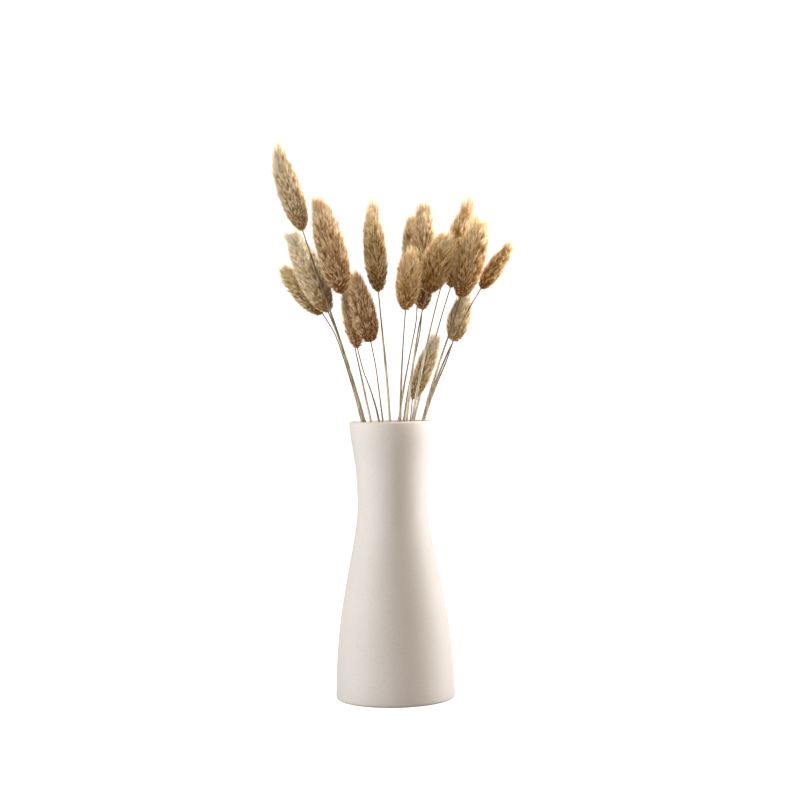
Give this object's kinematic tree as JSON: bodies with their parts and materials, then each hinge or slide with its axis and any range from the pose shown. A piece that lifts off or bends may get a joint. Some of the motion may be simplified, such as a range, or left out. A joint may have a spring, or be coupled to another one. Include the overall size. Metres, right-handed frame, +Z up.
{
  "type": "vase of dried bunny tail grass",
  "caption": "Slender waisted ceramic vase holding a loose sheaf of dried grass stalks, each with a soft furry oval seed head.",
  "frame": {"origin": "centre of the vase's flat foot, on the surface that it stands on", "axes": "+Z up along the vase's axis, -Y towards the front of the arrangement, +X to the right seen from the front"},
  "size_m": [0.1648, 0.0923, 0.389],
  "materials": {
    "ceramic": "matte",
    "dried_stem": "matte",
    "seed_fur": "matte"
  },
  "bodies": {
    "root": {"vase": "ceramic", "stem_01": "dried_stem", "stem_02": "dried_stem", "stem_03": "dried_stem", "stem_04": "dried_stem", "stem_05": "dried_stem", "stem_06": "dried_stem", "stem_07": "dried_stem", "stem_08": "dried_stem", "stem_09": "dried_stem", "stem_10": "dried_stem", "stem_11": "dried_stem", "stem_12": "dried_stem", "stem_13": "dried_stem", "stem_14": "dried_stem", "stem_15": "dried_stem", "stem_16": "dried_stem", "stem_17": "dried_stem", "seed_head_01": "seed_fur", "seed_head_02": "seed_fur", "seed_head_03": "seed_fur", "seed_head_04": "seed_fur", "seed_head_05": "seed_fur", "seed_head_06": "seed_fur", "seed_head_07": "seed_fur", "seed_head_08": "seed_fur", "seed_head_09": "seed_fur", "seed_head_10": "seed_fur", "seed_head_11": "seed_fur", "seed_head_12": "seed_fur", "seed_head_13": "seed_fur", "seed_head_14": "seed_fur", "seed_head_15": "seed_fur", "seed_head_16": "seed_fur", "seed_head_17": "seed_fur"}
  },
  "joints": []
}
